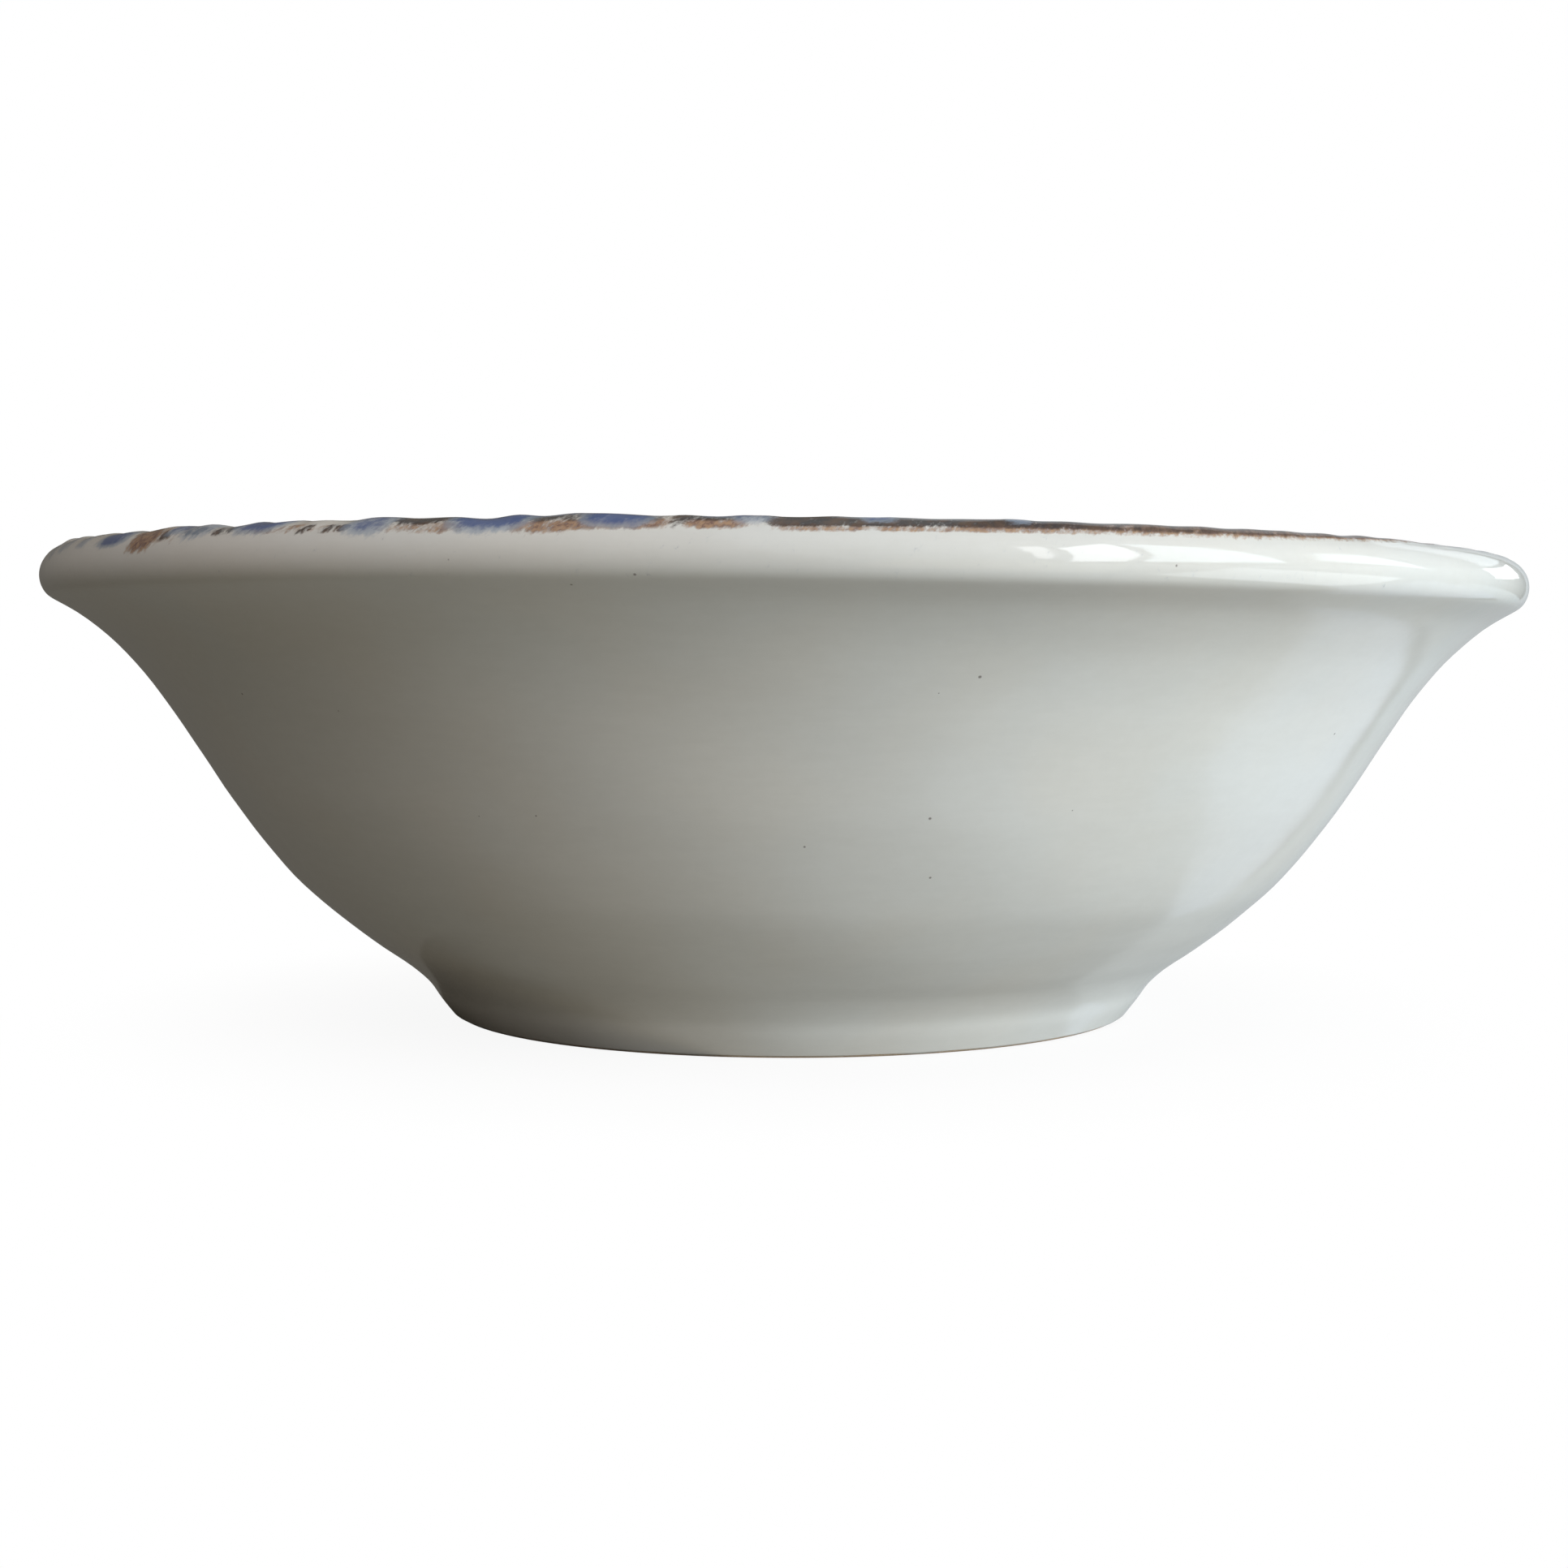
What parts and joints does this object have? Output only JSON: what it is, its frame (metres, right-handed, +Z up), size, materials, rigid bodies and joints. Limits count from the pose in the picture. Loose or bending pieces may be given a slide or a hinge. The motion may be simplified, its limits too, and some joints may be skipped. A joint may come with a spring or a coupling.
{
  "type": "shaving bowl",
  "caption": "Glazed earthenware shaving bowl with a flared wall, a round lip, a hand-painted rim and a low foot ring.",
  "frame": {"origin": "on the bowl's own axis, in the plane that the foot ring stands on", "axes": "+Z up along the bowl's axis, from the foot to the open mouth; X and Y are level, and -Y faces the viewer of the front view"},
  "size_m": [0.15, 0.15, 0.047],
  "materials": {
    "biscuit": "bare, fired buff earthenware, matt",
    "ivory_glaze": "glossy off-white glaze with a few fine dark iron specks",
    "iron_slip": "brushed rust-brown to charcoal iron slip under the glaze, feathered at its edge",
    "cobalt_slip": "translucent cobalt-blue brush dabs under the glaze, slightly raised"
  },
  "bodies": {
    "root": {"clay_body": "biscuit", "foot_ring": "biscuit", "glaze_outside": "ivory_glaze", "glaze_rim": "ivory_glaze", "glaze_inside": "ivory_glaze", "glaze_base": "ivory_glaze", "iron_slip_band": "iron_slip", "blue_dab_01": "cobalt_slip", "blue_dab_02": "cobalt_slip", "blue_dab_03": "cobalt_slip", "blue_dab_04": "cobalt_slip", "blue_dab_05": "cobalt_slip", "blue_dab_06": "cobalt_slip", "blue_dab_07": "cobalt_slip", "blue_dab_08": "cobalt_slip", "blue_dab_09": "cobalt_slip", "blue_dab_10": "cobalt_slip", "blue_dab_11": "cobalt_slip", "blue_dab_12": "cobalt_slip", "blue_dab_13": "cobalt_slip", "blue_dab_14": "cobalt_slip", "blue_dab_15": "cobalt_slip", "blue_dab_16": "cobalt_slip", "blue_dab_17": "cobalt_slip", "blue_dab_18": "cobalt_slip", "blue_dab_19": "cobalt_slip", "blue_dab_20": "cobalt_slip", "blue_dab_21": "cobalt_slip", "blue_dab_22": "cobalt_slip"}
  },
  "joints": []
}
